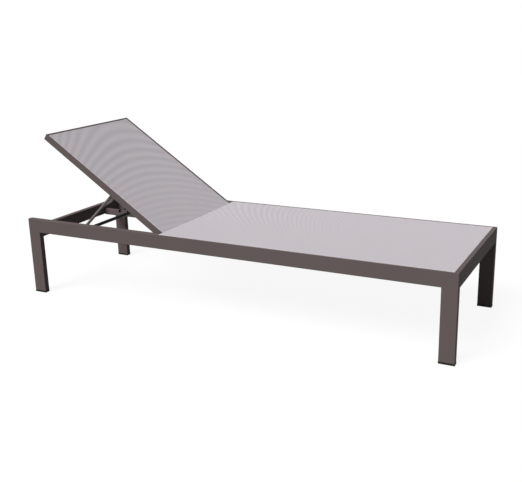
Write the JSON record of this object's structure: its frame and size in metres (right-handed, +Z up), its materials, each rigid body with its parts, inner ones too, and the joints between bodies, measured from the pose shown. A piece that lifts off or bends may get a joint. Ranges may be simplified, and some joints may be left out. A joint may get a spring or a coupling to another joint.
{
  "type": "sun lounger",
  "caption": "Low reclining sun lounger with a flat tube frame, woven slings, and a backrest propped on notched rack bars.",
  "frame": {"origin": "on the floor, under the middle of the lounger's length and width", "axes": "+X from the head end to the foot end, +Y to the left of a person lying on it, +Z up"},
  "size_m": [1.95, 0.65, 0.7315],
  "materials": {
    "frame_paint": "satin taupe powder coat",
    "sling_mesh": "pale lilac-grey coated mesh",
    "glide_plastic": "black moulded plastic",
    "bush_nylon": "black nylon",
    "buffer_rubber": "black rubber",
    "pin_steel": "zinc plated",
    "keder_plastic": "plain extruded rod",
    "prop_steel": "satin grey coat"
  },
  "bodies": {
    "frame": {"left_rail": "frame_paint", "right_rail": "frame_paint", "head_left_leg": "frame_paint", "head_right_leg": "frame_paint", "foot_left_leg": "frame_paint", "foot_right_leg": "frame_paint", "head_left_glide": "glide_plastic", "head_right_glide": "glide_plastic", "foot_left_glide": "glide_plastic", "foot_right_glide": "glide_plastic", "foot_rail": "frame_paint", "head_rail": "frame_paint", "rack_rail": "frame_paint", "seat_stretcher": "frame_paint", "left_rack": "frame_paint", "right_rack": "frame_paint", "rack_spacers": "frame_paint", "rack_end_caps": "glide_plastic", "left_rail_filler": "frame_paint", "right_rail_filler": "frame_paint", "seat_sling": "sling_mesh", "left_seat_keder": "keder_plastic", "right_seat_keder": "keder_plastic", "hinge_bushes": "bush_nylon", "rest_buffers": "buffer_rubber"},
    "back": {"left_back_tube": "frame_paint", "right_back_tube": "frame_paint", "back_top_tube": "frame_paint", "back_lower_tube": "frame_paint", "back_cross_tube": "frame_paint", "left_hinge_knuckle": "frame_paint", "right_hinge_knuckle": "frame_paint", "hinge_pins": "pin_steel", "back_sling": "sling_mesh", "left_back_keder": "keder_plastic", "right_back_keder": "keder_plastic", "left_prop_bracket": "frame_paint", "right_prop_bracket": "frame_paint", "prop_pins": "pin_steel", "prop_pin_clips": "pin_steel"},
    "prop": {"prop_frame": "prop_steel", "prop_sleeve": "glide_plastic"}
  },
  "joints": [
    {"name": "backrest_recline", "type": "hinge", "parent": "frame", "child": "back", "pos_m": [-0.2785, 0, 0.3355], "axis": [0, 1, 0], "range_deg": [-33.7, 11.3]},
    {"name": "prop_swing", "type": "hinge", "parent": "back", "child": "prop", "pos_m": [-0.55083, 0, 0.48407], "axis": [0, 1, 0], "range_deg": [-26.4, 78.4]}
  ],
  "couplings": [
    {"joint": "prop_swing", "follows": "backrest_recline", "ratio": -2.321}
  ]
}
